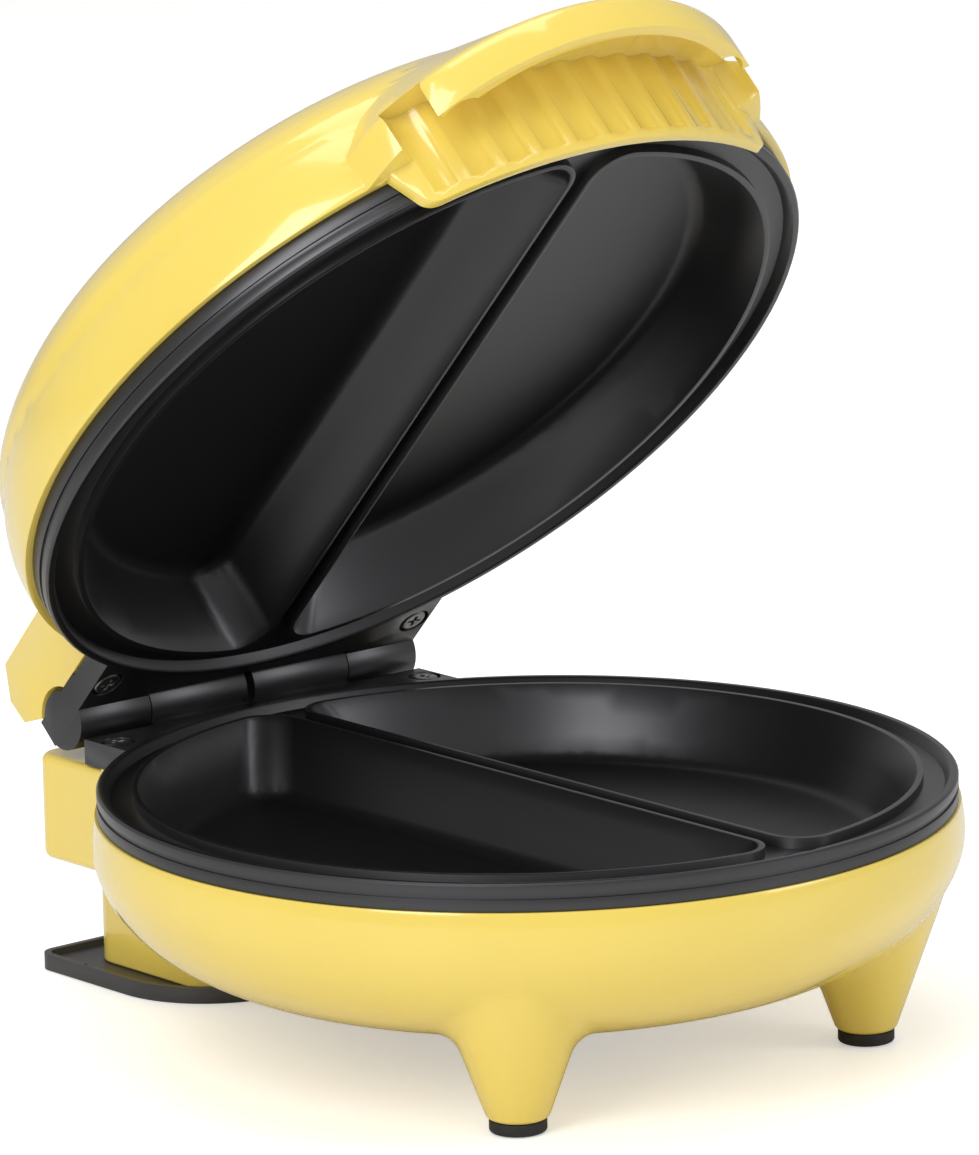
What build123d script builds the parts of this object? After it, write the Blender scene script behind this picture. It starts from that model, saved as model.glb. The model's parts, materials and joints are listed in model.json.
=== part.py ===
from build123d import *
import os
from math import cos, radians, sin, sqrt

# Driving dimensions, in millimetres. Z is up, the front is -Y and the hinge runs along X at the back.
# The plates are round about X = Y = 0 while the model is made, and the whole is centred at the end.

# Cooking plates
plate_radius = 103.0
plate_wall = 2.5
lower_wall_height = 6.7
upper_wall_height = 7.2
lip_width = 2.4
band_drop = 2.5
edge_drop = 0.4
lip_slope = 0.9
cavity_radius = 93.1
cavity_depth = 18.0
cavity_draft = 8.5
cavity_corner = 8.0
cavity_floor_round = 5.0
rim_width = 1.5
divider_width = 7.5
groove_depth = 0.5
groove_height = 1.2
closed_gap = 0.3

# Hinge
hinge_y = 113.4
hinge_z = 67.5
hinge_half_width = 53.0
knuckle_radius = 7.4
knuckle_split = 31.0
knuckle_middle = 1.2
knuckle_gap = 0.3
knuckle_clearance = 1.0
pin_radius = 2.0
pin_running_gap = 0.05
pin_end_cover = 1.5
arm_back = 121.0
arm_extra = 0.6
arm_round = 2.0
open_angle = 47.0

# Lower housing
shell_rim_z = 58.0
shell_wall = 2.4
bowl_rim_radius = 103.6
bowl_widest_radius = 104.4
bowl_widest_z = 50.4
bowl_bottom_z = 16.7
bowl_flat_radius = 27.4
bowl_radius_power = 3.18
bowl_height_power = 1.82
swell_steps = 4
block_half_width = 53.0
block_back = 126.5
block_bottom_z = 31.0
block_top_z = 57.5
block_round = 6.0
block_edge = 2.0
inner_edge = 0.4
column_half_width = 38.0
column_front = 78.0
column_back = 125.0
column_round = 8.0
column_edge = 0.8
vent_length = 34.0
vent_width = 3.0
vent_pitch = 9.0
vent_count = 7

# Feet
foot_x = 54.5
foot_y = -59.2
foot_end_radius = 7.2
foot_slope = 0.36
foot_round = 2.0
foot_blend = 8.0
foot_blend_reach = 20.0
pad_radius = 6.8
pad_height = 3.0
pad_spigot_radius = 3.0
pad_spigot_height = 3.0

# Rear foot plate
rear_plate_half_width = 48.0
rear_plate_back = 134.5
rear_plate_front = 70.0
rear_plate_thickness = 2.2
rear_plate_rim_height = 4.0
rear_plate_rim_width = 1.8
rear_plate_front_round = 28.0
rear_plate_back_round = 5.0
rear_notch_y = 114.0
rear_notch_width = 4.0

# Upper housing, with heights above its lower edge
skirt_radius = 104.9
ridge_radius = 100.9
ridge_height = 18.8
crown_height = 51.1
crown_radius_power = 2.37
crown_height_power = 1.8
skirt_fall = 0.7
skirt_overlap = 4.0
lid_block_back = 126.5
lid_block_top = 91.5
lid_block_round = 5.0
lid_block_corner = 4.0
lid_block_floor = 5.5

# Handle: a visor over a fluted grip wall, and an apron that hangs over the plate's edge
apron_half_width = 53.0
apron_bottom_z = 61.0
apron_gap = 0.4
apron_thickness = 2.3
apron_slant = 2.0
apron_corner = 4.0
visor_front = 124.5
visor_half_width = 62.0
visor_depth = 52.0
visor_lip_z = 78.8
visor_lip_height = 9.5
visor_tilt = 10.0
visor_round = 3.6
visor_sink = 6.0
visor_hollow_front = 109.0
visor_root_front = 85.0
visor_root_z = 108.5
visor_root_half_width = 45.0
visor_root_depth = 30.0
recess_half_width = 51.5
recess_depth = 39.0
recess_front = 121.8
recess_ceiling_z = 86.0
recess_roof = 4.5
flute_count = 11
flute_pitch = 5.2
flute_radius = 6.4
flute_depth = 1.1

# Screws: the plate screws, and the small ones inside
screw_head_radius = 3.6
screw_head_height = 2.0
screw_shank_radius = 1.6
screw_length = 12.0
screw_seat_clearance = 0.6
front_screw_y = -97.3
ear_screw_x = 48.4
ear_screw_y = 97.3
boss_radius = 4.5
small_head_radius = 2.8
small_head_height = 1.6
small_shank_radius = 1.4
small_shank_length = 5.0

# Heating elements and what holds them
element_radius = 3.2
element_loop_radius = 60.0
element_opening = 44.0
element_lead_length = 27.0
clip_angles = (25, 155, 222, 318)
clip_boss_radius = 4.0
clip_boss_inset = 9.5
clip_width = 9.0
clip_thickness = 1.0
reflector_radius = 88.0
reflector_rim = 12.0
reflector_thickness = 0.6
reflector_notch = 34.0

# Thermostat, fuse, terminals, gland and leads
thermostat_x = 32.0
thermostat_radius = 8.5
thermostat_flange = 12.0
fuse_radius = 2.2
fuse_length = 16.0
fuse_x = -34.0
fuse_strap_width = 7.0
terminal_length = 30.0
terminal_width = 14.0
terminal_height = 12.0
terminal_y = 104.0
gland_z = 16.0
gland_radius = 6.0
gland_flange_radius = 8.5
gland_bore_radius = 3.4
gland_outside = 6.0
gland_flange_thickness = 2.0
lead_radius = 1.2
lead_bend = 6.0

# Indicator lamps on the crown
lens_x = 10.0
lens_y = -12.0
lens_radius = 4.0
lens_proud = 0.9
lens_length = 4.2
lens_flange = 1.4
lens_flange_radius = 5.0
lamp_radius = 2.6
lamp_length = 8.0
lamp_gap = 0.3
holder_length = 44.0
holder_width = 14.0
holder_thickness = 1.6
holder_post_radius = 2.4
holder_post_x = 17.8

# Places that follow from them
lower_mate_z = shell_rim_z + lower_wall_height
upper_mate_z = lower_mate_z + closed_gap
lid_edge_z = upper_mate_z + upper_wall_height
ridge_z = lid_edge_z + ridge_height
crown_z = lid_edge_z + crown_height
pan_depth = cavity_depth + plate_wall
flange_back = hinge_y - knuckle_radius - knuckle_clearance
bottom_align = (Align.CENTER, Align.CENTER, Align.MIN)
front_align = (Align.CENTER, Align.MIN, Align.MIN)


def rod(radius, x, y, bottom, top):
    """An upright cylinder between two heights."""
    return Pos(x, y, bottom) * Cylinder(radius, top - bottom, align=bottom_align)


def bar(radius, x_low, x_high, y, z):
    """A cylinder along X."""
    turned = Pos(x_low, y, z) * Rot(0, 90, 0)
    return turned * Cylinder(radius, x_high - x_low, align=bottom_align)


def block(x_low, x_high, y_low, y_high, z_low, z_high):
    """A box given by its six faces."""
    size = Box(x_high - x_low, y_high - y_low, z_high - z_low, align=(Align.MIN,) * 3)
    return Pos(x_low, y_low, z_low) * size


def turned_profile(outline):
    """The solid that an outline of radius and height makes when it is turned about Z."""
    return revolve(Plane.XZ * make_face(outline), Axis.Z)


def half_moon(radius, straight_x, corner, height):
    """One half-moon on the +X side, with its two corners rounded."""
    disc = Circle(radius)
    keep = Pos(straight_x, 0) * Rectangle(radius * 2, radius * 4, align=(Align.MIN, Align.CENTER))
    moon = disc & keep
    corners = [v for v in moon.vertices() if abs(v.X - straight_x) < 0.01]
    return Pos(0, 0, height) * fillet(corners, corner)


def both_sides(solid):
    """A solid and its mirror image in X."""
    return solid + mirror(solid, Plane.YZ)


def pan(grow, top, depth):
    """One drafted half-moon pan, grown all round by a wall."""
    straight = divider_width / 2 - grow
    upper = half_moon(cavity_radius + grow, straight, cavity_corner + grow, top)
    lower_radius = cavity_radius + grow - cavity_draft
    lower_straight = straight + cavity_draft
    lower = half_moon(lower_radius, lower_straight, cavity_corner + grow, -depth)
    shape = loft([upper, lower], ruled=True)
    floor = shape.faces().sort_by(Axis.Z)[0]
    return fillet(floor.edges(), cavity_floor_round + grow)


def plate_disc(wall_height):
    """The round casting: outer wall with its groove, lip and sunk band."""
    inner = plate_radius - plate_wall
    lip_inner = plate_radius - lip_width
    groove_top = -band_drop
    groove_bottom = groove_top - groove_height
    edge = 0.5
    outline = Polyline(
        (0, -band_drop),
        (lip_inner - lip_slope, -band_drop),
        (lip_inner, -edge),
        (lip_inner + edge, 0),
        (plate_radius - edge, 0),
        (plate_radius, -edge),
        (plate_radius, groove_top),
        (plate_radius - groove_depth, groove_top),
        (plate_radius - groove_depth, groove_bottom),
        (plate_radius, groove_bottom),
        (plate_radius, -wall_height),
        (inner, -wall_height),
        (inner, -band_drop - plate_wall),
        (0, -band_drop - plate_wall),
        (0, -band_drop),
    )
    return turned_profile(outline)


def screw_places():
    """The three plate screws in plan."""
    return [(0, front_screw_y), (-ear_screw_x, ear_screw_y), (ear_screw_x, ear_screw_y)]


def element_supports():
    """The cast bosses that the element clips are screwed to, in plan."""
    boss_circle = element_loop_radius - clip_boss_inset
    return [(boss_circle * cos(radians(a)), boss_circle * sin(radians(a))) for a in clip_angles]


def cooking_plate(wall_height, axis_height, knuckle_low, knuckle_high, back, ear_bottom):
    """A cast plate with its mating face at Z = 0 and its pans below."""
    disc = plate_disc(wall_height)
    ear_top = -edge_drop
    ears = block(-hinge_half_width, hinge_half_width, 0, flange_back, -wall_height, ear_top)
    ears -= Cylinder(plate_radius - plate_wall / 2, wall_height * 4)
    body = disc + ears
    rims = extrude(
        half_moon(
            cavity_radius + rim_width,
            divider_width / 2 - rim_width,
            cavity_corner + rim_width,
            -band_drop - plate_wall,
        ),
        band_drop + plate_wall,
    )
    body += both_sides(rims)
    body += both_sides(pan(plate_wall, -band_drop, pan_depth))
    arm = block(knuckle_low, knuckle_high, flange_back - 4, back, -ear_bottom, ear_top)
    arm -= Cylinder(plate_radius, wall_height * 4)
    knuckle = bar(knuckle_radius, knuckle_low, knuckle_high, hinge_y, axis_height)
    body += both_sides(arm + knuckle)
    for x, y in element_supports():
        body += rod(clip_boss_radius, x, y, -pan_depth - 2 * element_radius, -pan_depth + plate_wall / 2)
    body -= both_sides(pan(0, 0, cavity_depth))
    seat = -band_drop - 0.2
    for x, y in screw_places():
        top = seat if y < 0 else ear_top
        floor = top - screw_head_height
        body -= rod(screw_head_radius + screw_seat_clearance, x, y, floor, 1)
        body -= rod(screw_shank_radius + 0.1, x, y, -wall_height - 5, 1)
    for x, y in element_supports():
        low = -pan_depth - 2 * element_radius
        body -= rod(small_shank_radius, x, y, low, low + small_shank_length)
    return body



def make_lower_plate():
    """The lower plate, with the two inner knuckles."""
    axis_height = hinge_z - lower_mate_z
    plate = cooking_plate(
        lower_wall_height,
        axis_height,
        knuckle_middle,
        knuckle_split,
        hinge_y,
        lower_wall_height,
    )
    bore = bar(pin_radius, 0, knuckle_split + 1, hinge_y, axis_height)
    plate -= both_sides(bore)
    return Pos(0, 0, lower_mate_z) * plate


def make_upper_plate():
    """The upper plate, closed, with the two outer knuckles and their arms."""
    axis_height = upper_mate_z - hinge_z
    low = knuckle_split + knuckle_gap
    plate = cooking_plate(
        upper_wall_height,
        axis_height,
        low,
        hinge_half_width,
        arm_back,
        upper_wall_height + arm_extra,
    )
    bore_end = hinge_half_width - pin_end_cover
    bore = bar(pin_radius + pin_running_gap, low - 1, bore_end, hinge_y, axis_height)
    plate -= both_sides(bore)
    return Pos(0, 0, upper_mate_z) * mirror(plate, Plane.XY)


def swell(middle, reach, start_z, rise, radius_power, height_power, inset):
    """Points and directions of a rounded wall, from its widest place to its flat middle."""

    def place(turn):
        radius = middle + reach * cos(turn) ** (2 / radius_power)
        return Vector(radius, start_z + rise * sin(turn) ** (2 / height_power))

    side = 1 if rise > 0 else -1
    stations = []
    for step in range(swell_steps + 1):
        turn = radians(90 * step / swell_steps)
        if step == 0:
            along = Vector(0, side)
        elif step == swell_steps:
            along = Vector(-1, 0)
        else:
            along = (place(turn + 0.01) - place(turn - 0.01)).normalized()
        inwards = Vector(-side * along.Y, side * along.X)
        stations.append((place(turn) + inwards * inset, along))
    return stations


def smooth_arcs(stations):
    """Pairs of arcs with common tangents, through places with given directions."""
    arcs = []
    for (start, leave), (end, arrive) in zip(stations, stations[1:]):
        chord = end - start
        spread = 2 * (1 - leave.dot(arrive))
        along = chord.dot(leave + arrive)
        reach = (sqrt(along**2 + spread * chord.dot(chord)) - along) / spread
        joint = (start + end + (leave - arrive) * reach) * 0.5
        first = TangentArc(start, joint, tangent=leave)
        arcs += [first, TangentArc(joint, end, tangent=first % 1)]
    return arcs


def bowl(inset):
    """The turned form of the bowl, drawn in by an inset."""
    top = shell_rim_z + (10 if inset else 0)
    stations = swell(
        bowl_flat_radius,
        bowl_widest_radius - bowl_flat_radius,
        bowl_widest_z,
        bowl_bottom_z - bowl_widest_z,
        bowl_radius_power,
        bowl_height_power,
        inset,
    )
    rim = (bowl_rim_radius - inset, shell_rim_z)
    widest = stations[0][0]
    low = stations[-1][0]
    edge = TangentArc(widest, rim, tangent=(0, 1))
    corners = [low, (0, low.Y), (0, top)]
    if inset:
        corners.append((rim[0], top))
    rest = Polyline(*corners, rim)
    return turned_profile([edge, *smooth_arcs(stations), rest])


def within_wall():
    """Everything inside the plates' outer walls, where the front posts stand."""
    return Cylinder(plate_radius - plate_wall - 0.2, 500)


def rounded_box(half_width, front, back, bottom, top, corner, edge):
    """A box whose upright edges are rounded, and its upper and lower edges less so."""
    box = block(-half_width, half_width, front, back, bottom, top)
    box = fillet(box.edges().filter_by(Axis.Z), corner)
    ends = box.edges().group_by(Axis.Z)
    return fillet(ends[0] + ends[-1], edge)


def foot_cone(inset):
    """One tapered front foot, drawn in by an inset."""
    bottom = pad_height + (inset if inset else 0)
    top = 40.0
    low_radius = foot_end_radius + foot_slope * (bottom - pad_height) - inset
    high_radius = foot_end_radius + foot_slope * (top - pad_height) - inset
    cone = Cone(low_radius, high_radius, top - bottom, align=bottom_align)
    if not inset:
        cone = fillet(cone.edges().sort_by(Axis.Z)[0], foot_round)
    return Pos(foot_x, foot_y, bottom) * cone


def foot_seams(body):
    """The edges where the feet run into the bowl."""
    seams = []
    for edge in body.edges():
        middle = edge.center()
        near_x = abs(abs(middle.X) - foot_x) < foot_blend_reach
        near_y = abs(middle.Y - foot_y) < foot_blend_reach
        if near_x and near_y and edge.geom_type == GeomType.BSPLINE and middle.Z > bowl_bottom_z - 3:
            seams.append(edge)
    return seams


def make_lower_housing():
    """The bowl, the rear block and column, and the two front feet, as one hollow moulding."""
    outside = bowl(0) + both_sides(foot_cone(0))
    outside = fillet(foot_seams(outside), foot_blend)
    outside += rounded_box(
        block_half_width, 70, block_back, block_bottom_z, block_top_z, block_round, block_edge
    )
    outside += rounded_box(
        column_half_width,
        column_front,
        column_back,
        rear_plate_thickness,
        block_bottom_z + 2,
        column_round,
        column_edge,
    )
    inside = bowl(shell_wall)
    inside += rounded_box(
        block_half_width - shell_wall,
        70,
        block_back - shell_wall,
        block_bottom_z + shell_wall,
        block_top_z - shell_wall,
        block_round - shell_wall,
        inner_edge,
    )
    inside += rounded_box(
        column_half_width - shell_wall,
        column_front + shell_wall,
        column_back - shell_wall,
        rear_plate_thickness + shell_wall,
        block_bottom_z + shell_wall + 2,
        column_round - shell_wall,
        inner_edge,
    )
    inside += both_sides(foot_cone(shell_wall))
    floor_z = bowl_bottom_z + shell_wall
    body = outside - inside
    ear_boss_bottom = block_top_z - screw_length
    for x, y in screw_places():
        if y < 0:
            seat = lower_mate_z - band_drop - plate_wall
            post = rod(boss_radius, x, y, 38, seat)
            rib = block(-1.5, 1.5, -plate_radius, y, 40, shell_rim_z - 2)
            body += (post + rib) & bowl(0.5) & within_wall()
            top = lower_mate_z - band_drop - 0.2 - screw_head_height
        else:
            body += rod(boss_radius, x, y, ear_boss_bottom, shell_rim_z)
            top = lower_mate_z - edge_drop - screw_head_height
        body -= rod(screw_shank_radius, x, y, top - screw_length, shell_rim_z + 5)
    for side in (-1, 1):
        body -= rod(pad_spigot_radius, side * foot_x, foot_y, 0, pad_height + pad_spigot_height)
    for place in range(vent_count):
        y = (place - (vent_count - 1) / 2) * vent_pitch
        slot = Pos(0, y, floor_z) * extrude(SlotOverall(vent_length, vent_width), 10, both=True)
        body -= slot
    gland_hole = Pos(0, column_back - 5, gland_z) * Rot(-90, 0, 0)
    body -= gland_hole * Cylinder(gland_radius, 10, align=bottom_align)
    for x, y in rear_screw_places():
        body += rod(boss_radius, x, y, rear_plate_thickness, rear_plate_thickness + 9)
        body -= rod(small_shank_radius, x, y, 0, rear_plate_thickness + small_shank_length + 2)
    return body


def rear_screw_places():
    """The screws that hold the rear foot plate, in plan."""
    inset = column_half_width - 12
    return [(-inset, column_back - 12), (inset, column_back - 12), (0, column_front + 12)]


def rear_outline(inset):
    """The rear foot plate in plan, drawn in by an inset."""
    width = 2 * (rear_plate_half_width - inset)
    depth = rear_plate_back - rear_plate_front - 2 * inset
    middle = (rear_plate_back + rear_plate_front) / 2
    sketch = Pos(0, middle) * Rectangle(width, depth)
    front = sketch.vertices().sort_by(Axis.Y)[:2]
    sketch = fillet(front, rear_plate_front_round - inset)
    back = sketch.vertices().sort_by(Axis.Y)[-2:]
    return fillet(back, rear_plate_back_round - inset)


def make_rear_foot_plate():
    """The black plate under the column, with a raised edge that keeps the wound cord on it."""
    plate = extrude(rear_outline(0), rear_plate_rim_height)
    hollow = Pos(0, 0, rear_plate_thickness) * extrude(rear_outline(rear_plate_rim_width), 10)
    plate -= hollow
    reach = rear_plate_half_width - rear_plate_rim_width / 2
    half_notch = rear_notch_width / 2
    for side in (-1, 1):
        low, high = sorted((side * reach, side * (reach - 3)))
        plate -= block(low, high, rear_notch_y - half_notch, rear_notch_y + half_notch, rear_plate_thickness, 10)
    for x, y in rear_screw_places():
        plate -= rod(small_shank_radius + 0.2, x, y, -1, 10)
        plate -= rod(small_head_radius + 0.2, x, y, -1, rear_plate_thickness - 0.9)
    return plate


def make_rear_plate_screws():
    """Three small screws, heads down, sunk in the rear foot plate."""
    seat = rear_plate_thickness - 0.9
    head = rod(small_head_radius, 0, 0, 0.2, seat)
    shank = rod(small_shank_radius, 0, 0, seat, seat + small_shank_length)
    return [Pos(x, y, 0) * (head + shank) for x, y in rear_screw_places()]


def make_foot_pads():
    """The two rubber pads, each with a spigot that is pushed up into its foot."""
    pad = rod(pad_radius, 0, 0, 0, pad_height)
    pad = fillet(pad.edges().sort_by(Axis.Z)[0], 0.8)
    pad += rod(pad_spigot_radius, 0, 0, pad_height, pad_height + pad_spigot_height)
    return [Pos(side * foot_x, foot_y, 0) * pad for side in (-1, 1)]


def cross_screw(head_radius, head_height, shank_radius, length):
    """A pan-head screw with a cross recess, its seat at Z = 0 and its head above."""
    head = Cylinder(head_radius, head_height, align=bottom_align)
    head = fillet(head.edges().sort_by(Axis.Z)[-1], head_height * 0.45)
    slot = head_radius * 0.28
    reach = head_radius * 1.1
    recess = Box(reach, slot, head_height) + Box(slot, reach, head_height)
    head -= Pos(0, 0, head_height) * recess
    return head + Pos(0, 0, -length) * Cylinder(shank_radius, length, align=bottom_align)


def plate_screws():
    """The three screws of a plate, for a mating face at Z = 0."""
    screw = cross_screw(screw_head_radius, screw_head_height, screw_shank_radius, screw_length)
    placed = []
    for x, y in screw_places():
        top = -band_drop - 0.2 if y < 0 else -edge_drop
        placed.append(Pos(x, y, top - screw_head_height) * screw)
    return placed


def element_loop():
    """The tubular element for a pan floor at Z = 0: a loop open at the back, and its two leads."""
    section = Plane.XZ * Pos(element_loop_radius, -element_radius) * Circle(element_radius)
    half_open = element_opening / 2
    loop = revolve(section, Axis.Z, 360 - element_opening).rotate(Axis.Z, 90 + half_open)
    end_x = element_loop_radius * sin(radians(half_open))
    end_y = element_loop_radius * cos(radians(half_open))
    lead = Pos(end_x, end_y - 2, -element_radius) * Rot(-90, 0, 0)
    leads = both_sides(lead * Cylinder(element_radius * 0.62, element_lead_length, align=bottom_align))
    return loop + leads


def element_clips():
    """The straps under the element, for a pan floor at Z = 0."""
    depth = 2 * element_radius
    length = clip_boss_inset + element_radius + clip_boss_radius + 2
    placed = []
    for angle in clip_angles:
        start = element_loop_radius - clip_boss_inset - clip_boss_radius
        strap = block(start, start + length, -clip_width / 2, clip_width / 2, -depth - clip_thickness, -depth)
        hole = rod(small_shank_radius, element_loop_radius - clip_boss_inset, 0, -depth - 5, 0)
        placed.append(Rot(0, 0, angle) * (strap - hole))
    return placed


def clip_screws():
    """The screws that hold the clips and the reflector, heads down, for a pan floor at Z = 0."""
    seat = -2 * element_radius - clip_thickness - reflector_thickness
    screw = cross_screw(small_head_radius, small_head_height, small_shank_radius, small_shank_length)
    return [Pos(x, y, seat) * Rot(180, 0, 0) * screw for x, y in element_supports()]


def reflector():
    """The sheet-metal tray under an element, for a pan floor at Z = 0."""
    top = -2 * element_radius - clip_thickness
    low = top - reflector_thickness
    flare = 2.5
    outline = Polyline(
        (0, low),
        (reflector_radius, low),
        (reflector_radius + flare, low + reflector_rim),
        (reflector_radius + flare - reflector_thickness, low + reflector_rim),
        (reflector_radius - reflector_thickness, top),
        (0, top),
        (0, low),
    )
    tray = turned_profile(outline)
    tray -= block(-reflector_notch, reflector_notch, reflector_radius - 14, reflector_radius + 20, low - 1, 20)
    for x, y in element_supports():
        tray -= rod(small_shank_radius, x, y, low - 1, top + 1)
    return tray


def make_thermostat():
    """The bimetal thermostat between the lower pan floor and the reflector."""
    floor = lower_mate_z - pan_depth
    low = floor - 2 * element_radius - clip_thickness
    body = rod(thermostat_radius, thermostat_x, 0, low, floor)
    flange = rod(thermostat_flange, thermostat_x, 0, floor - 1.0, floor)
    tab = 3.0
    tabs = block(thermostat_x - 1.5, thermostat_x + 1.5, thermostat_radius - 1, thermostat_radius + tab * 2, low + 2, low + 3)
    return body + flange + tabs


def make_thermal_fuse():
    """The thermal fuse in its sleeve, with the strap that keeps it to the pan floor."""
    floor = lower_mate_z - pan_depth
    low = floor - 2 * element_radius - clip_thickness
    sleeve = Pos(fuse_x, -fuse_length / 2, floor - fuse_radius) * Rot(-90, 0, 0)
    fuse = sleeve * Cylinder(fuse_radius, fuse_length, align=bottom_align)
    half_strap = fuse_strap_width / 2
    strap = block(fuse_x - half_strap, fuse_x + half_strap, -3, 3, low, floor - fuse_radius)
    return fuse + strap


def make_terminal_block():
    """The terminal block on the column's floor."""
    floor = rear_plate_thickness + shell_wall
    half = terminal_length / 2
    body = block(-half, half, terminal_y, terminal_y + terminal_width, floor, floor + terminal_height)
    for place in range(3):
        x = (place - 1) * terminal_length / 3
        body -= rod(2.2, x, terminal_y + terminal_width / 2, floor + terminal_height - 4, floor + terminal_height + 1)
    return body


def lead(points, bend):
    """A round lead along straight runs with arcs between them."""
    path = FilletPolyline(*points, radius=bend)
    section = Plane(origin=path @ 0, z_dir=path % 0) * Circle(lead_radius)
    return sweep(section, path=path)


def make_lower_wiring():
    """The two leads from the terminal block to the lower element."""
    element_z = lower_mate_z - pan_depth - element_radius
    start_y = element_loop_radius * cos(radians(element_opening / 2)) - 2 + element_lead_length
    x = element_loop_radius * sin(radians(element_opening / 2))
    top = rear_plate_thickness + shell_wall + terminal_height
    terminal_x = terminal_length / 3
    y = terminal_y + terminal_width / 2
    runs = [
        (x, start_y, element_z),
        (x, y, element_z),
        (terminal_x, y, (element_z + top) / 2),
        (terminal_x, y, top - 4),
    ]
    one = lead(runs, lead_bend)
    return [one, mirror(one, Plane.YZ)]


def make_cord_gland():
    """The bush in the column's back wall where the mains cord goes in."""
    wall_inside = column_back - shell_wall
    axis = Pos(0, wall_inside - 3, gland_z) * Rot(-90, 0, 0)
    depth = 3 + shell_wall + gland_outside
    body = axis * Cylinder(gland_radius, depth, align=bottom_align)
    flange_place = Pos(0, column_back, gland_z) * Rot(-90, 0, 0)
    body += flange_place * Cylinder(gland_flange_radius, gland_flange_thickness, align=bottom_align)
    body -= axis * Cylinder(gland_bore_radius, depth, align=bottom_align)
    return body


def make_hinge_pins():
    """The two hinge pins, each through one inner and one outer knuckle."""
    end = hinge_half_width - pin_end_cover - 0.3
    pin = bar(pin_radius, knuckle_middle + 0.5, end, hinge_y, hinge_z)
    return [pin, mirror(pin, Plane.YZ)]


def dome(inset):
    """The turned form of the lid's skirt and crown, drawn in by an inset."""
    bottom = lid_edge_z - (skirt_overlap if inset else 0)
    stations = swell(
        0, ridge_radius, ridge_z, crown_z - ridge_z, crown_radius_power, crown_height_power, inset
    )
    edge = (skirt_radius - inset, lid_edge_z)
    middle = (skirt_radius - skirt_fall - inset, lid_edge_z + ridge_height * 0.55)
    skirt = ThreePointArc(edge, middle, stations[0][0])
    corners = [stations[-1][0], (0, bottom)]
    if inset:
        corners.append((edge[0], bottom))
    rest = Polyline(*corners, edge)
    return turned_profile([skirt, *smooth_arcs(stations), rest])


def ellipse_in_plan(front, half_width, depth, bottom, height):
    """An upright elliptic prism whose front is at a given reach."""
    plan = Pos(0, depth - front, bottom) * Ellipse(half_width, depth)
    return extrude(plan, height)


def visor_block(down=0, back=0):
    """The visor before its recess is cut: a tilted lip under a top that rises into the crown."""
    lip = Rot(-visor_tilt, 0, 0) * Pos(0, visor_depth) * Ellipse(visor_half_width, visor_depth)
    front = Pos(0, back - visor_front, -down)
    low = front * Pos(0, 0, visor_lip_z - visor_sink * down) * lip
    high = front * Pos(0, 0, visor_lip_z + visor_lip_height) * lip
    root_y = visor_root_depth - visor_root_front + back
    root = Pos(0, root_y, visor_root_z - down) * Ellipse(visor_root_half_width, visor_root_depth)
    return loft([low, high], ruled=True) + loft([high, root], ruled=True)


def visor_cheeks():
    """What carries the visor's ends: it swells from the apron's circle up to the lip."""
    lip = Rot(-visor_tilt, 0, 0) * Pos(0, visor_depth) * Ellipse(visor_half_width, visor_depth)
    low = Pos(0, 0, apron_bottom_z - 2) * Circle(plate_radius + apron_gap + apron_thickness / 2)
    return loft([low, Pos(0, -visor_front, visor_lip_z) * lip], ruled=True)


def apron_window():
    """The apron's outline seen from the front, with its two lower corners rounded."""
    low = apron_half_width - apron_slant
    high = apron_half_width + apron_slant
    outline = Polyline(
        (-high, lid_edge_z),
        (-low, apron_bottom_z),
        (low, apron_bottom_z),
        (high, lid_edge_z),
        (-high, lid_edge_z),
    )
    window = make_face(outline)
    window = fillet(window.vertices().sort_by(Axis.Y)[:2], apron_corner)
    return extrude(Plane.XZ * window, visor_front * 1.2)


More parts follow.
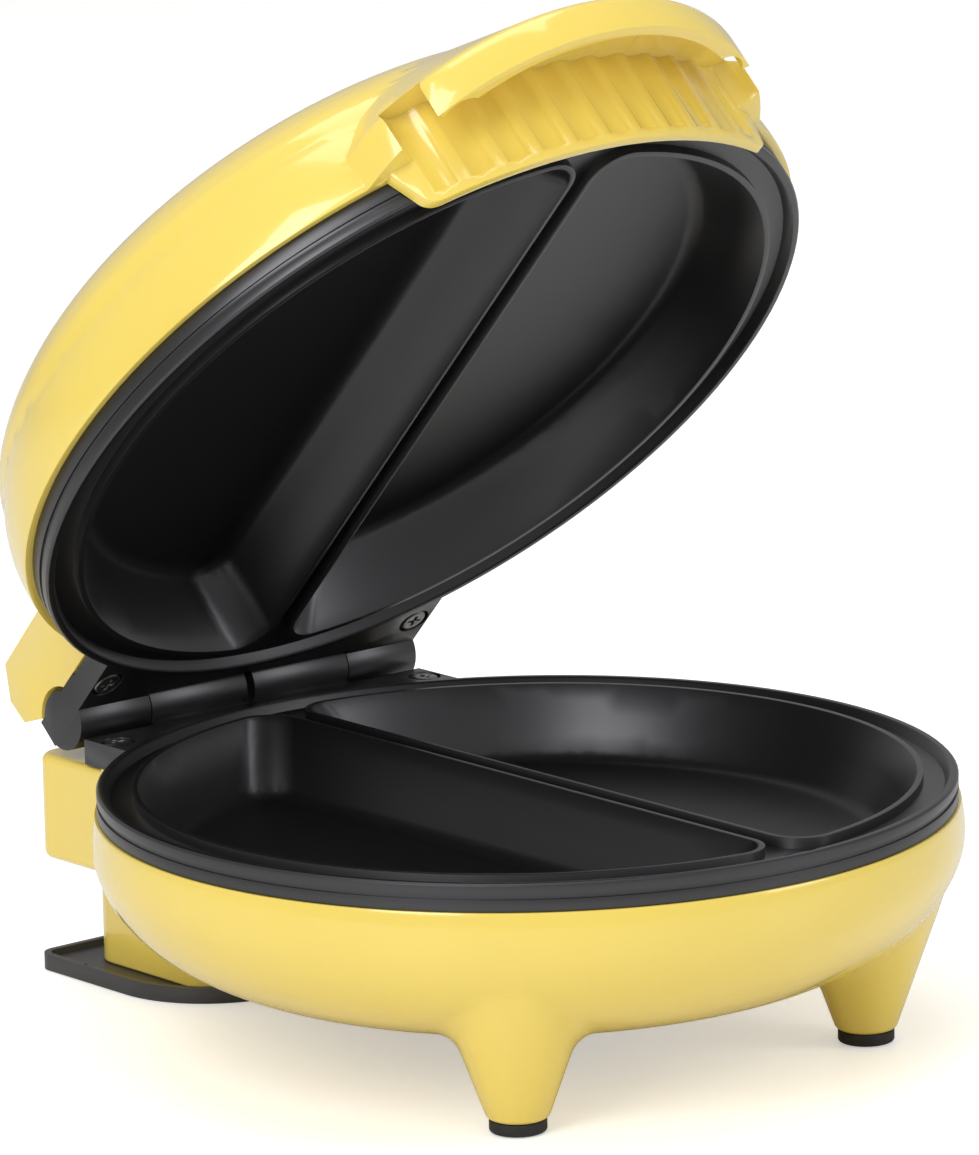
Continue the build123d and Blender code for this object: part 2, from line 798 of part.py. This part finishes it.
def make_upper_housing():
    """The dome, the visor handle with its fluted grip and apron, and the rear block, closed."""
    visor = visor_block()
    lip_edge = visor.edges().filter_by(GeomType.ELLIPSE).sort_by(Axis.Z)[1]
    visor = fillet(lip_edge, visor_round)
    rear = rear_lid_block(0)
    beside_apron = block(-200, 200, -200, 200, 0, lid_edge_z) - apron_window()
    visor = visor + visor_cheeks() - beside_apron
    visor -= rod(plate_radius + apron_gap, 0, 0, 0, lid_edge_z)
    outside = dome(0) + visor
    outside += rear
    recess_height = recess_ceiling_z - apron_bottom_z + 5
    recess = ellipse_in_plan(
        recess_front, recess_half_width, recess_depth, apron_bottom_z - 5, recess_height
    )
    recess &= visor_block(recess_roof, shell_wall)
    grip_radius = plate_radius + apron_gap + apron_thickness
    recess -= Cylinder(grip_radius, crown_z * 3)
    recess &= block(-recess_half_width, recess_half_width, -visor_front - 5, -60, 0, crown_z)
    outside -= recess
    apron_top = lid_edge_z + 8
    apron = rod(grip_radius, 0, 0, apron_bottom_z, apron_top)
    apron -= rod(plate_radius + apron_gap, 0, 0, apron_bottom_z - 1, lid_edge_z)
    apron -= rod(plate_radius - 2, 0, 0, apron_bottom_z - 1, apron_top + 1)
    apron -= beside_apron
    apron &= block(-apron_half_width - apron_slant, apron_half_width + apron_slant, -200, -60, 0, crown_z)
    outside += apron
    inside = dome(shell_wall)
    keep_out = rod(plate_radius + apron_gap + apron_thickness, 0, 0, 0, lid_edge_z)
    keep_out -= rod(plate_radius + apron_gap, 0, 0, -1, lid_edge_z + 1)
    inside -= keep_out
    inside += rear_lid_block(shell_wall)
    hollow_visor = visor_hollow()
    body = outside - inside - hollow_visor
    for place in range(flute_count):
        angle = (place - (flute_count - 1) / 2) * flute_pitch
        reach = grip_radius + flute_radius - flute_depth
        groove = rod(flute_radius, 0, -reach, apron_bottom_z + 2.5, recess_ceiling_z)
        body -= Rot(0, 0, angle) * groove
    body -= bar(knuckle_radius + 1.2, -hinge_half_width - 5, hinge_half_width + 5, hinge_y, hinge_z)
    ear_room = hinge_half_width + 0.3
    body -= block(-ear_room, ear_room, 85, 200, 0, lid_edge_z + arm_extra + 0.1)
    body += lid_bosses(body)
    for side in (-1, 1):
        body -= rod(lens_radius, side * lens_x, lens_y, crown_z - 20, crown_z + 5)
    for x, y in screw_places():
        head_seat = band_drop + 0.2 if y < 0 else edge_drop
        low = upper_mate_z + head_seat + screw_head_height
        body -= rod(screw_shank_radius, x, y, low, low + screw_length)
    return body


def rear_lid_block(inset):
    """The block at the back of the lid, drawn in by an inset."""
    bottom = upper_mate_z + upper_wall_height + arm_extra + 0.1
    low = bottom + (lid_block_floor if inset else 0)
    high = lid_block_top - inset
    back = lid_block_back - inset
    half = block_half_width - inset
    front = 60
    corner = lid_block_round - inset * 0.5
    side = Polyline(
        (front, low),
        (back - lid_block_corner - 3, low),
        (back, low + lid_block_corner),
        (back + 0.5, high - corner * 1.5),
        (back - corner, high),
        (front, high + 1),
        (front, low),
    )
    solid = extrude(Plane.YZ * make_face(side), half, both=True)
    return solid & behind_crown()


def behind_crown():
    """Everything behind the crown's own radius, so that the rear block doesn't fill the dome."""
    wide = block(-200, 200, 0, 200, 0, 200)
    return wide - Cylinder(ridge_radius - shell_wall - 6, 500)


def visor_hollow():
    """The space inside the visor over the recess, open to the dome."""
    low = recess_ceiling_z + shell_wall
    above = block(-200, 200, -visor_hollow_front, 0, low, crown_z)
    hollow = visor_block(shell_wall, shell_wall) & above
    return hollow - Cylinder(ridge_radius - 12, 500)


def lid_bosses(body):
    """The posts inside the lid: three for the plate screws and two for the lamp holder."""
    posts = []
    for x, y in screw_places():
        if y < 0:
            seat = upper_mate_z + band_drop + plate_wall
            posts.append(rod(boss_radius, x, y, seat, seat + 20) & dome(0.5) & within_wall())
        else:
            seat = upper_mate_z + upper_wall_height
            posts.append(rod(boss_radius, x, y, seat + arm_extra + 0.1, lid_block_top - 1))
    board_top = holder_top_z()
    for side in (-1, 1):
        posts.append(rod(holder_post_radius, side * holder_post_x, lens_y, board_top, crown_z - 1.5))
    joined = posts[0]
    for post in posts[1:]:
        joined += post
    return joined


def holder_top_z():
    """The lamp holder's top: the lamps stand on it, a little under the lenses."""
    return crown_z + lens_proud - lens_length - lens_flange - lamp_gap - lamp_length


def make_indicator_lenses():
    """Two lenses through the crown, each with a flange inside."""
    top = crown_z + lens_proud
    lens = rod(lens_radius, 0, 0, top - lens_length, top)
    lens = fillet(lens.edges().sort_by(Axis.Z)[-1], 0.8)
    lens += rod(lens_flange_radius, 0, 0, top - lens_length - lens_flange, top - lens_length + 0.01)
    return [Pos(side * lens_x, lens_y, 0) * lens for side in (-1, 1)]


def make_indicator_lamps():
    """Two small lamps that stand on the holder."""
    low = holder_top_z()
    lamp = rod(lamp_radius, 0, 0, low, low + lamp_length)
    lamp = fillet(lamp.edges().sort_by(Axis.Z)[-1], lamp_radius * 0.8)
    return [Pos(side * lens_x, lens_y, 0) * lamp for side in (-1, 1)]


def make_lamp_holder():
    """The board under the crown that carries the lamps."""
    top = holder_top_z()
    half_length = holder_length / 2
    half_width = holder_width / 2
    return block(
        -half_length,
        half_length,
        lens_y - half_width,
        lens_y + half_width,
        top - holder_thickness,
        top,
    )


def make_upper_wiring():
    """The two leads from the upper element to the lamp holder."""
    element_z = upper_mate_z + pan_depth + element_radius
    start_y = element_loop_radius * cos(radians(element_opening / 2)) - 2 + element_lead_length
    x = element_loop_radius * sin(radians(element_opening / 2))
    under_board = holder_top_z() - holder_thickness
    high = under_board - 6
    y_turn = start_y + 7
    runs = [
        (x, start_y, element_z),
        (x, y_turn, element_z),
        (x, y_turn - 8, high - 1),
        (holder_post_x, lens_y + 3, high),
        (holder_post_x, lens_y + 3, under_board),
    ]
    one = lead(runs, 3.0)
    return [one, mirror(one, Plane.YZ)]


def under_lower(shapes):
    """Moves what was made for a pan floor at Z = 0 under the lower plate."""
    return place_all(shapes, Pos(0, 0, lower_mate_z - pan_depth))


def over_upper(shapes):
    """Turns what was made for a pan floor at Z = 0 over and sets it on the upper plate."""
    group = shapes if isinstance(shapes, list) else [shapes]
    flipped = [mirror(s, Plane.XY) for s in group]
    return place_all(flipped, Pos(0, 0, upper_mate_z + pan_depth))


def place_all(shapes, place):
    """Moves one shape or a list of them."""
    group = shapes if isinstance(shapes, list) else [shapes]
    return [place * s for s in group]


def upper_screws():
    """The plate screws of the lid, closed."""
    return [Pos(0, 0, upper_mate_z) * mirror(s, Plane.XY) for s in plate_screws()]


base = {
    "lower_housing": make_lower_housing(),
    "rear_foot_plate": make_rear_foot_plate(),
    "rear_plate_screws": make_rear_plate_screws(),
    "foot_pads": make_foot_pads(),
    "lower_cooking_plate": make_lower_plate(),
    "lower_plate_screws": place_all(plate_screws(), Pos(0, 0, lower_mate_z)),
    "lower_heating_element": under_lower(element_loop()),
    "lower_element_clips": under_lower(element_clips()),
    "lower_clip_screws": under_lower(clip_screws()),
    "lower_reflector": under_lower(reflector()),
    "thermostat": make_thermostat(),
    "thermal_fuse": make_thermal_fuse(),
    "terminal_block": make_terminal_block(),
    "lower_wiring": make_lower_wiring(),
    "cord_gland": make_cord_gland(),
    "hinge_pins": make_hinge_pins(),
}

lid = {
    "upper_housing": make_upper_housing(),
    "upper_cooking_plate": make_upper_plate(),
    "upper_plate_screws": upper_screws(),
    "upper_heating_element": over_upper(element_loop()),
    "upper_element_clips": over_upper(element_clips()),
    "upper_clip_screws": over_upper(clip_screws()),
    "upper_reflector": over_upper(reflector()),
    "indicator_lenses": make_indicator_lenses(),
    "indicator_lamps": make_indicator_lamps(),
    "lamp_holder": make_lamp_holder(),
    "upper_wiring": make_upper_wiring(),
}


def as_list(shape):
    """The solids of a node."""
    group = shape if isinstance(shape, list) else [shape]
    return [s for item in group for s in item.solids()]


# The lid stands open by the open angle: its front goes up about the hinge.
hinge_axis = Axis((0, hinge_y, hinge_z), (1, 0, 0))
nodes = {name: as_list(shape) for name, shape in base.items()}
for name, shape in lid.items():
    nodes[name] = [s.rotate(hinge_axis, -open_angle) for s in as_list(shape)]

# The origin is the middle of the whole at floor level.
everything = Compound([s for solids in nodes.values() for s in solids])
box = everything.bounding_box()
middle_y = (box.min.Y + box.max.Y) / 2
shift = Pos(0, -middle_y, 0)

os.makedirs("parts", exist_ok=True)
for name, solids in nodes.items():
    placed = [shift * s for s in solids]
    whole = placed[0] if len(placed) == 1 else Compound(placed)
    export_step(whole, f"parts/{name}.step")

print("middle_y", round(middle_y, 4), "hinge", round(hinge_y - middle_y, 4), hinge_z)
print("size", box.size, "lowest", round(box.min.Z, 4))
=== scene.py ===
import json
import math

import bpy
from mathutils import Matrix, Vector

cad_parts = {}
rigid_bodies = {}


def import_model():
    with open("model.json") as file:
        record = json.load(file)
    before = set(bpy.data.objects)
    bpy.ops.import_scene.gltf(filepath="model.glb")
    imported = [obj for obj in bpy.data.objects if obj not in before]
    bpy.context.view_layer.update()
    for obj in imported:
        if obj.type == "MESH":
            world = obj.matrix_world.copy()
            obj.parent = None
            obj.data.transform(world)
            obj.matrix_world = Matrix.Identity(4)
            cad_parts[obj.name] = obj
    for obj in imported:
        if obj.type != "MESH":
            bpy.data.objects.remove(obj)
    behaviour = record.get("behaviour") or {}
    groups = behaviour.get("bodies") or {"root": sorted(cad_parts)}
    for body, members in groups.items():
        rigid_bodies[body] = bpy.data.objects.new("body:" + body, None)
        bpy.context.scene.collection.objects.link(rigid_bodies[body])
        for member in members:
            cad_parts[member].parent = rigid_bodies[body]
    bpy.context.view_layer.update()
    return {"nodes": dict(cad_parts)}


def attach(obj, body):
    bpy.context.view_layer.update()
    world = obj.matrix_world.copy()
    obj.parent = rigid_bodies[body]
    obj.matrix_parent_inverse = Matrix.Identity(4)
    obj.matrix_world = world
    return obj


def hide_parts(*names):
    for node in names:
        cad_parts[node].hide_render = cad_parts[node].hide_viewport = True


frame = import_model()

bl_info = {
    "name": "Omelette maker",
    "version": (1, 0, 0),
    "blender": (4, 5, 0),
    "location": "3D View > Sidebar > Cooker",
    "description": "Dresses the omelette maker: glossy shell, coated plates, screws, feet and stage",
    "category": "Object",
}


class CookerSizes(bpy.types.PropertyGroup):
    """Sizes that a user would change."""

    edge_round: bpy.props.FloatProperty(
        name="Edge rounding",
        description="Radius of the moulded edges",
        default=0.0005,
        min=0.0,
        unit="LENGTH",
    )
    plate_edge_round: bpy.props.FloatProperty(
        name="Plate edge rounding",
        description="Radius of the cast edges of the plates",
        default=0.00035,
        min=0.0,
        unit="LENGTH",
    )
    smooth_angle: bpy.props.FloatProperty(
        name="Smooth angle",
        description="Faces that meet at less than this angle are shaded as one surface",
        default=math.radians(32),
        subtype="ANGLE",
    )


class CookerColours(bpy.types.PropertyGroup):
    """Colours that a user would change."""

    shell: bpy.props.FloatVectorProperty(
        name="Shell",
        description="Colour of the glossy housings",
        subtype="COLOR",
        size=3,
        default=(0.87, 0.66, 0.125),
    )
    coating: bpy.props.FloatVectorProperty(
        name="Plate coating",
        description="Colour of the non-stick coating",
        subtype="COLOR",
        size=3,
        default=(0.019, 0.019, 0.021),
    )
    black_plastic: bpy.props.FloatVectorProperty(
        name="Black plastic",
        description="Colour of the rear foot plate",
        subtype="COLOR",
        size=3,
        default=(0.02, 0.02, 0.021),
    )


# Materials


def new_material(name):
    """A node material with nothing but its Principled shader and output."""
    material = bpy.data.materials.new(name)
    material.use_nodes = True
    shader = material.node_tree.nodes["Principled BSDF"]
    return material, material.node_tree, shader


def object_noise(tree, scale, detail, roughness):
    """Noise on Object coordinates, whose scale is in cells a metre."""
    place = tree.nodes.new("ShaderNodeTexCoord")
    noise = tree.nodes.new("ShaderNodeTexNoise")
    noise.inputs["Scale"].default_value = scale
    noise.inputs["Detail"].default_value = detail
    noise.inputs["Roughness"].default_value = roughness
    tree.links.new(place.outputs["Object"], noise.inputs["Vector"])
    return noise.outputs["Fac"]


def between(tree, value, low, high):
    """Maps a noise value to a range."""
    span = tree.nodes.new("ShaderNodeMapRange")
    span.inputs["From Min"].default_value = 0.3
    span.inputs["From Max"].default_value = 0.7
    span.inputs["To Min"].default_value = low
    span.inputs["To Max"].default_value = high
    tree.links.new(value, span.inputs["Value"])
    return span.outputs["Result"]


def tint(tree, value, colour, spread):
    """A colour that grows a little lighter and darker with a value."""
    ramp = tree.nodes.new("ShaderNodeValToRGB")
    dark = [c * (1 - spread) for c in colour]
    light = [min(1, c * (1 + spread)) for c in colour]
    ramp.color_ramp.elements[0].position = 0.3
    ramp.color_ramp.elements[1].position = 0.7
    ramp.color_ramp.elements[0].color = (*dark, 1)
    ramp.color_ramp.elements[1].color = (*light, 1)
    tree.links.new(value, ramp.inputs["Fac"])
    return ramp.outputs["Color"]


def add_bump(tree, shader, height, distance, strength):
    """Bump from a height value, with its distance in metres."""
    bump = tree.nodes.new("ShaderNodeBump")
    bump.inputs["Distance"].default_value = distance
    bump.inputs["Strength"].default_value = strength
    tree.links.new(height, bump.inputs["Height"])
    tree.links.new(bump.outputs["Normal"], shader.inputs["Normal"])


def gloss_shell():
    """Glossy painted plastic, with a little flow in the paint and a faint orange-peel."""
    material, tree, shader = new_material("gloss_shell")
    colour = bpy.context.scene.cooker_colours.shell
    tree.links.new(tint(tree, object_noise(tree, 14, 3, 0.5), colour, 0.02), shader.inputs["Base Color"])
    tree.links.new(between(tree, object_noise(tree, 60, 4, 0.6), 0.16, 0.24), shader.inputs["Roughness"])
    shader.inputs["Coat Weight"].default_value = 0.6
    shader.inputs["Coat Roughness"].default_value = 0.05
    shader.inputs["Subsurface Weight"].default_value = 0.08
    shader.inputs["Subsurface Scale"].default_value = 0.004
    shader.inputs["Subsurface Radius"].default_value = (1.0, 0.6, 0.2)
    add_bump(tree, shader, object_noise(tree, 420, 3, 0.5), 0.00004, 0.25)
    return material


def coated_plate():
    """Non-stick coating: near black, with a fine sandy grain and pale flecks."""
    material, tree, shader = new_material("coated_plate")
    colour = bpy.context.scene.cooker_colours.coating
    flecks = object_noise(tree, 1500, 3, 0.7)
    base = tint(tree, flecks, colour, 0.8)
    tree.links.new(base, shader.inputs["Base Color"])
    tree.links.new(between(tree, object_noise(tree, 700, 3, 0.6), 0.34, 0.54), shader.inputs["Roughness"])
    add_bump(tree, shader, object_noise(tree, 1300, 4, 0.7), 0.0002, 0.55)
    return material


def satin_plastic(name, colour, rough_low, rough_high, grain):
    """Moulded plastic or rubber with a fine grain."""
    material, tree, shader = new_material(name)
    tree.links.new(tint(tree, object_noise(tree, 300, 4, 0.6), colour, 0.15), shader.inputs["Base Color"])
    rough = between(tree, object_noise(tree, 700, 3, 0.6), rough_low, rough_high)
    tree.links.new(rough, shader.inputs["Roughness"])
    add_bump(tree, shader, object_noise(tree, grain, 3, 0.6), 0.00006, 0.3)
    return material


def metal(name, colour, rough_low, rough_high, grain):
    """Bare or blackened metal with fine marks."""
    material, tree, shader = new_material(name)
    shader.inputs["Metallic"].default_value = 1.0
    tree.links.new(tint(tree, object_noise(tree, 500, 5, 0.7), colour, 0.2), shader.inputs["Base Color"])
    rough = between(tree, object_noise(tree, grain, 4, 0.6), rough_low, rough_high)
    tree.links.new(rough, shader.inputs["Roughness"])
    add_bump(tree, shader, object_noise(tree, grain, 3, 0.6), 0.00003, 0.3)
    return material


def lens_plastic():
    """Tinted clear plastic with a slight haze."""
    material, tree, shader = new_material("lens_plastic")
    tree.links.new(
        tint(tree, object_noise(tree, 500, 2, 0.5), (0.8, 0.16, 0.02), 0.08), shader.inputs["Base Color"]
    )
    tree.links.new(between(tree, object_noise(tree, 800, 2, 0.5), 0.05, 0.12), shader.inputs["Roughness"])
    shader.inputs["Transmission Weight"].default_value = 0.5
    return material


# Helpers for the pieces

# Points nearer than this, in metres, become one point of a copied mesh
merge_distance = 0.00001
edge_segments = 2


def deselect_all():
    """Leaves nothing selected."""
    for other in bpy.context.view_layer.objects:
        other.select_set(False)


def activate(piece):
    """Makes a piece the one selected, active object."""
    deselect_all()
    piece.select_set(True)
    bpy.context.view_layer.objects.active = piece


def merged_copy(node, name):
    """A copy of a node's mesh with its loose triangles joined."""
    source = frame["nodes"][node]
    piece = bpy.data.objects.new(name, source.data.copy())
    bpy.context.scene.collection.objects.link(piece)
    piece.data.materials.clear()
    activate(piece)
    bpy.ops.object.mode_set(mode="EDIT")
    bpy.ops.mesh.select_all(action="SELECT")
    bpy.ops.mesh.remove_doubles(threshold=merge_distance)
    bpy.ops.object.mode_set(mode="OBJECT")
    return piece


def finish_piece(piece, material, body, slot, *nodes):
    """Gives a piece its material and body, and hides the nodes it stands for."""
    piece.data.materials.append(material)
    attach(piece, body)
    if nodes:
        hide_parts(*nodes)


def soften_edges(piece, width):
    """Rounds the sharp edges and shades the rest smooth."""
    sizes = bpy.context.scene.cooker_sizes
    activate(piece)
    bevel = piece.modifiers.new("edge_round", "BEVEL")
    bevel.width = width
    bevel.segments = edge_segments
    bevel.limit_method = "ANGLE"
    bevel.angle_limit = sizes.smooth_angle
    bevel.use_clamp_overlap = True
    bevel.harden_normals = False
    bpy.ops.object.modifier_apply(modifier=bevel.name)
    bpy.ops.object.shade_smooth_by_angle(angle=sizes.smooth_angle)


def shell_piece(name, node, body, material):
    """A moulded housing with rounded edges."""
    piece = merged_copy(node, name)
    soften_edges(piece, bpy.context.scene.cooker_sizes.edge_round)
    finish_piece(piece, material, body, "yellow_shell", node)


class COOKER_OT_shells(bpy.types.Operator):
    """Make the two glossy housings, with their moulded edges rounded"""

    bl_idname = "cooker.shells"
    bl_label = "Housings"

    def execute(self, context):
        shell_piece("bowl_shell", "lower_housing", "base", bpy.data.materials["gloss_shell"])
        shell_piece("lid_shell", "upper_housing", "lid", bpy.data.materials["gloss_shell"])
        return {"FINISHED"}


class COOKER_OT_plates(bpy.types.Operator):
    """Make the two coated plates, with their cast edges rounded"""

    bl_idname = "cooker.plates"
    bl_label = "Cooking plates"

    def execute(self, context):
        coating = bpy.data.materials["coated_plate"]
        for half, body in (("lower", "base"), ("upper", "lid")):
            node = half + "_cooking_plate"
            piece = merged_copy(node, half + "_plate")
            soften_edges(piece, context.scene.cooker_sizes.plate_edge_round)
            finish_piece(piece, coating, body, "coated_plate", node)
        return {"FINISHED"}


def dress_node(node, material):
    """Gives a CAD node a material."""
    source = frame["nodes"][node]
    if not source.data.materials:
        source.data.materials.append(material)
    for place in range(len(source.material_slots)):
        source.material_slots[place].material = material


class COOKER_OT_dress_nodes(bpy.types.Operator):
    """Give every CAD node that shows or lies inside its material"""

    bl_idname = "cooker.dress_nodes"
    bl_label = "Dress CAD nodes"

    def execute(self, context):
        shell = gloss_shell()
        coating = coated_plate()
        colours = context.scene.cooker_colours
        black = satin_plastic("black_plastic", colours.black_plastic, 0.38, 0.5, 1200)
        rubber = satin_plastic("foot_rubber", (0.012, 0.012, 0.012), 0.55, 0.75, 1600)
        ceramic = satin_plastic("pale_insulation", (0.7, 0.67, 0.6), 0.5, 0.65, 900)
        steel = metal("screw_steel", (0.20, 0.20, 0.205), 0.3, 0.42, 1500)
        sheet_steel = metal("sheet_steel", (0.6, 0.6, 0.61), 0.2, 0.35, 900)
        tube_steel = metal("element_steel", (0.32, 0.30, 0.28), 0.35, 0.5, 900)
        lens = lens_plastic()
        dress = {
            "lower_housing": shell,
            "upper_housing": shell,
            "lower_cooking_plate": coating,
            "upper_cooking_plate": coating,
            "rear_foot_plate": black,
            "foot_pads": rubber,
            "cord_gland": rubber,
            "lower_plate_screws": steel,
            "upper_plate_screws": steel,
            "rear_plate_screws": steel,
            "lower_clip_screws": sheet_steel,
            "upper_clip_screws": sheet_steel,
            "lower_element_clips": sheet_steel,
            "upper_element_clips": sheet_steel,
            "lower_reflector": sheet_steel,
            "upper_reflector": sheet_steel,
            "lower_heating_element": tube_steel,
            "upper_heating_element": tube_steel,
            "hinge_pins": steel,
            "thermostat": black,
            "thermal_fuse": ceramic,
            "terminal_block": ceramic,
            "lower_wiring": ceramic,
            "upper_wiring": ceramic,
            "lamp_holder": ceramic,
            "indicator_lenses": lens,
            "indicator_lamps": lens,
        }
        for node in frame["nodes"]:
            dress_node(node, dress[node])
        return {"FINISHED"}


class COOKER_OT_small_parts(bpy.types.Operator):
    """Make the rear foot plate, foot pads, cord bush, screws and lenses, with softened edges"""

    bl_idname = "cooker.small_parts"
    bl_label = "Small parts"

    def execute(self, context):
        made = (
            ("cord_rest", "rear_foot_plate", "base", "black_plastic", "black_plastic", 0.0004),
            ("foot_rubbers", "foot_pads", "base", "foot_rubber", "black_rubber", 0.0003),
            ("cord_bush", "cord_gland", "base", "foot_rubber", "black_rubber", 0.0003),
            ("base_screws", "lower_plate_screws", "base", "screw_steel", "bright_steel", 0.00012),
            ("lid_screws", "upper_plate_screws", "lid", "screw_steel", "bright_steel", 0.00012),
            ("lamp_lenses", "indicator_lenses", "lid", "lens_plastic", "amber_lens", 0.0002),
        )
        for name, node, body, material, finish, width in made:
            piece = merged_copy(node, name)
            soften_edges(piece, width)
            finish_piece(piece, bpy.data.materials[material], body, finish, node)
        return {"FINISHED"}


class COOKER_OT_stage(bpy.types.Operator):
    """Make the pale floor, the soft lights, the white surroundings and the camera"""

    bl_idname = "cooker.stage"
    bl_label = "Stage, lights and camera"

    def execute(self, context):
        make_floor()
        make_world()
        make_lights()
        make_camera()
        context.scene.view_settings.view_transform = "Standard"
        return {"FINISHED"}


# The camera's place and turn, solved from the photograph
camera_place = Vector((-1.26852, -1.53265, 0.55887))
camera_azimuth = math.radians(-39.68)
camera_elevation = math.radians(12.705)
camera_roll = math.radians(-1.291)
camera_lens = 265.75
camera_sensor = 36

# The stage: a floor just under the feet, and the light that surrounds the part
floor_width = 12
floor_drop = 0.0002
floor_glow = 0.42
room_light = 0.46
light_aim_height = 0.12


def make_camera():
    """The camera at the photograph's angle and distance."""
    data = bpy.data.cameras.new("camera")
    camera = bpy.data.objects.new("camera", data)
    bpy.context.scene.collection.objects.link(camera)
    data.sensor_width = camera_sensor
    data.lens = camera_lens
    data.clip_start = 0.05
    data.clip_end = 50
    level = math.cos(camera_elevation)
    back = Vector(
        (
            math.sin(camera_azimuth) * level,
            -math.cos(camera_azimuth) * level,
            math.sin(camera_elevation),
        )
    )
    right = Vector((0, 0, 1)).cross(back).normalized()
    up = back.cross(right)
    turned_right = right * math.cos(camera_roll) + up * math.sin(camera_roll)
    turned_up = up * math.cos(camera_roll) - right * math.sin(camera_roll)
    turn = Matrix((turned_right, turned_up, back)).transposed().to_4x4()
    camera.matrix_world = Matrix.Translation(camera_place) @ turn
    bpy.context.scene.camera = camera


def make_floor():
    """A wide pale floor that shows near white and keeps the shadow."""
    deselect_all()
    bpy.ops.mesh.primitive_plane_add(size=floor_width, location=(0, 0, -floor_drop))
    floor = bpy.context.active_object
    floor.name = "floor"
    material, tree, shader = new_material("pale_floor")
    shader.inputs["Roughness"].default_value = 0.45
    shader.inputs["Base Color"].default_value = (0.92, 0.915, 0.905, 1)
    light_path = tree.nodes.new("ShaderNodeLightPath")
    glow = tree.nodes.new("ShaderNodeMath")
    glow.operation = "MULTIPLY"
    glow.inputs[1].default_value = floor_glow
    tree.links.new(light_path.outputs["Is Camera Ray"], glow.inputs[0])
    shader.inputs["Emission Color"].default_value = (1, 1, 1, 1)
    tree.links.new(glow.outputs["Value"], shader.inputs["Emission Strength"])
    floor.data.materials.append(material)


def make_world():
    """Even surroundings that the camera sees as white."""
    world = bpy.data.worlds.new("surroundings")
    world.use_nodes = True
    bpy.context.scene.world = world
    tree = world.node_tree
    ground = tree.nodes["Background"]
    light_path = tree.nodes.new("ShaderNodeLightPath")
    level = tree.nodes.new("ShaderNodeMapRange")
    level.inputs["To Min"].default_value = room_light
    level.inputs["To Max"].default_value = 1.0
    tree.links.new(light_path.outputs["Is Camera Ray"], level.inputs["Value"])
    tree.links.new(level.outputs["Result"], ground.inputs["Strength"])
    ground.inputs["Color"].default_value = (1, 1, 1, 1)


def soft_box(name, place, aim, width, height, power):
    """A rectangular area light that points at a place."""
    data = bpy.data.lights.new(name, "AREA")
    data.shape = "RECTANGLE"
    data.size = width
    data.size_y = height
    data.energy = power
    lamp = bpy.data.objects.new(name, data)
    bpy.context.scene.collection.objects.link(lamp)
    lamp.location = place
    lamp.rotation_euler = (Vector(aim) - Vector(place)).to_track_quat("-Z", "Y").to_euler()


def make_lights():
    """A large soft light from the upper left, one from the right and one from above."""
    middle = (0, 0, light_aim_height)
    soft_box("left_light", (-1.3, -0.5, 1.1), middle, 0.7, 1.2, 15)
    soft_box("right_light", (0.9, -1.4, 0.9), middle, 0.6, 1.0, 7)
    soft_box("top_light", (0.1, 0.3, 1.8), middle, 1.2, 1.2, 11)


class COOKER_PT_panel(bpy.types.Panel):
    """The cooker's operators and settings"""

    bl_label = "Omelette maker"
    bl_idname = "COOKER_PT_panel"
    bl_space_type = "VIEW_3D"
    bl_region_type = "UI"
    bl_category = "Cooker"

    def draw(self, context):
        column = self.layout.column()
        for operator in operators:
            column.operator(operator.bl_idname)
        for field in ("edge_round", "plate_edge_round", "smooth_angle"):
            column.prop(context.scene.cooker_sizes, field)
        for field in ("shell", "coating", "black_plastic"):
            column.prop(context.scene.cooker_colours, field)


operators = (
    COOKER_OT_dress_nodes,
    COOKER_OT_shells,
    COOKER_OT_plates,
    COOKER_OT_small_parts,
    COOKER_OT_stage,
)
classes = (CookerSizes, CookerColours, *operators, COOKER_PT_panel)


def register():
    for item in classes:
        bpy.utils.register_class(item)
    bpy.types.Scene.cooker_sizes = bpy.props.PointerProperty(type=CookerSizes)
    bpy.types.Scene.cooker_colours = bpy.props.PointerProperty(type=CookerColours)


def unregister():
    del bpy.types.Scene.cooker_colours
    del bpy.types.Scene.cooker_sizes
    for item in reversed(classes):
        bpy.utils.unregister_class(item)


def main():
    """Dresses the model in order."""
    register()
    bpy.ops.cooker.dress_nodes()
    bpy.ops.cooker.shells()
    bpy.ops.cooker.plates()
    bpy.ops.cooker.small_parts()
    bpy.ops.cooker.stage()


if __name__ == "__main__":
    main()
